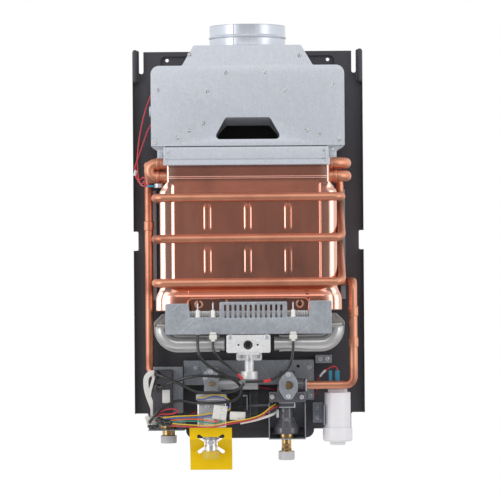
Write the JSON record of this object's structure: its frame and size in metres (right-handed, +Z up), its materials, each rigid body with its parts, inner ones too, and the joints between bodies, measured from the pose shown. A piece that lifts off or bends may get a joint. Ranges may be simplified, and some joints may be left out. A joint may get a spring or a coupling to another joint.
{
  "type": "tankless gas water heater",
  "caption": "Wall-hung tankless gas water heater, cover removed: draught hood, finned copper exchanger with coil, burner, gas and water valves, spark box and battery case.",
  "frame": {"origin": "midway between the two wall screw holes, on the wall plane", "axes": "+Z up, -Y is the front, away from the wall, +X to the right seen from the front"},
  "size_m": [0.34, 0.1421, 0.6471],
  "materials": {
    "dark_paint": "textured charcoal powder coat",
    "galvanised": "zinc coated sheet with a soft spangle",
    "hood_zinc": "pale bluish zinc coated sheet",
    "copper_sheet": "oxidised copper sheet",
    "copper_pipe": "satin copper",
    "stainless": "stainless steel sheet",
    "cast_aluminium": "satin die casting",
    "brass": "machined brass",
    "screw_steel": "zinc plated",
    "black_plastic": "moulded black plastic",
    "grey_plastic": "moulded light grey plastic",
    "cap_plastic": "soft grey plastic",
    "yellow_plastic": "translucent pale yellow plastic",
    "tag_card": "yellow card",
    "cell_jacket": "plain wrapped cell, whose filling is about as dense as aluminium",
    "white_nylon": "white nylon",
    "ceramic": "glazed ceramic",
    "black_rubber": "silicone lead",
    "red_wire": "wire insulation",
    "yellow_wire": "wire insulation",
    "blue_wire": "wire insulation",
    "green_wire": "wire insulation",
    "orange_wire": "wire insulation"
  },
  "bodies": {
    "heater": {"back_plate": "dark_paint", "support_brackets": "galvanised", "hood_box": "hood_zinc", "hood_front": "hood_zinc", "hood_baffle": "galvanised", "hood_skirt": "hood_zinc", "flue_collar": "hood_zinc", "fin_pack": "copper_sheet", "fin_tubes": "copper_pipe", "tube_bends": "copper_pipe", "copper_shell": "copper_sheet", "water_coil": "copper_pipe", "hot_pipe": "copper_pipe", "cold_pipe": "copper_pipe", "burner_tray": "stainless", "burner_bars": "stainless", "mixing_tubes": "stainless", "guard_plate": "galvanised", "manifold": "cast_aluminium", "injectors": "brass", "injector_cover": "galvanised", "valve_bracket": "galvanised", "gas_valve_body": "cast_aluminium", "gas_spindle_plate": "galvanised", "solenoid_cover": "galvanised", "microswitch": "black_plastic", "switch_bracket": "galvanised", "water_valve_body": "black_plastic", "water_valve_plate": "galvanised", "retaining_clip": "screw_steel", "flow_sensor": "black_plastic", "connection_brackets": "galvanised", "inlet_fitting": "brass", "outlet_fitting": "brass", "gas_inlet": "screw_steel", "battery_case": "grey_plastic", "battery_bracket": "galvanised", "igniter_box": "dark_paint", "electrodes": "ceramic", "thermostats": "screw_steel", "plugs": "white_nylon", "leads_black": "black_rubber", "wires_red": "red_wire", "wires_yellow": "yellow_wire", "wires_blue": "blue_wire", "wires_green": "green_wire", "wires_orange": "orange_wire", "screws": "screw_steel"},
    "gas_tap": {"gas_spindle": "brass"},
    "water_tap": {"water_spindle": "brass"},
    "lever": {"switch_lever": "screw_steel"},
    "rod": {"push_rod": "screw_steel"},
    "drain": {"drain_screw": "brass"},
    "cold_cap": {"inlet_cap": "cap_plastic"},
    "hot_cap": {"outlet_cap": "cap_plastic"},
    "gas_dust_cap": {"gas_cap": "yellow_plastic"},
    "tag": {"gas_tag": "tag_card"},
    "contact_carrier": {"battery_contact": "screw_steel", "battery_cell": "cell_jacket"},
    "battery_cap": {"battery_lid": "grey_plastic"}
  },
  "joints": [
    {"name": "gas_tap_turn", "type": "hinge", "parent": "heater", "child": "gas_tap", "pos_m": [-0.054, -0.1, -0.475], "axis": [0, -1, 0], "range_deg": [0, 180]},
    {"name": "water_tap_turn", "type": "hinge", "parent": "heater", "child": "water_tap", "pos_m": [0.0563, -0.11, -0.477], "axis": [0, -1, 0], "range_deg": [0, 270]},
    {"name": "push_rod_slide", "type": "slide", "parent": "heater", "child": "rod", "axis": [-1, 0, 0], "range_m": [0, 0.003]},
    {"name": "lever_turn", "type": "hinge", "parent": "heater", "child": "lever", "pos_m": [-0.009, -0.066, -0.494], "axis": [0, 1, 0], "range_deg": [0, 13.3]},
    {"name": "drain_turn", "type": "hinge", "parent": "heater", "child": "drain", "pos_m": [0.053, -0.082, -0.568], "axis": [0, -1, 0], "continuous": true},
    {"name": "cold_cap_pull", "type": "slide", "parent": "heater", "child": "cold_cap", "axis": [0, 0, -1], "range_m": [0, 0.03]},
    {"name": "hot_cap_pull", "type": "slide", "parent": "heater", "child": "hot_cap", "axis": [0, 0, -1], "range_m": [0, 0.03]},
    {"name": "gas_cap_pull", "type": "slide", "parent": "heater", "child": "gas_dust_cap", "axis": [0, 0, -1], "range_m": [0, 0.03]},
    {"name": "tag_swing", "type": "hinge", "parent": "heater", "child": "tag", "pos_m": [-0.057, -0.07, -0.565], "axis": [0, 0, 1], "range_deg": [-6, 6]},
    {"name": "battery_draw", "type": "slide", "parent": "heater", "child": "contact_carrier", "axis": [0, 0, -1], "range_m": [0, 0.08]},
    {"name": "battery_cap_turn", "type": "hinge", "parent": "contact_carrier", "child": "battery_cap", "pos_m": [0.128, -0.062, -0.55], "axis": [0, 0, 1], "range_deg": [-90, 0]}
  ],
  "couplings": [
    {"joint": "lever_turn", "follows": "push_rod_slide", "rad_per_m": 77.376}
  ]
}
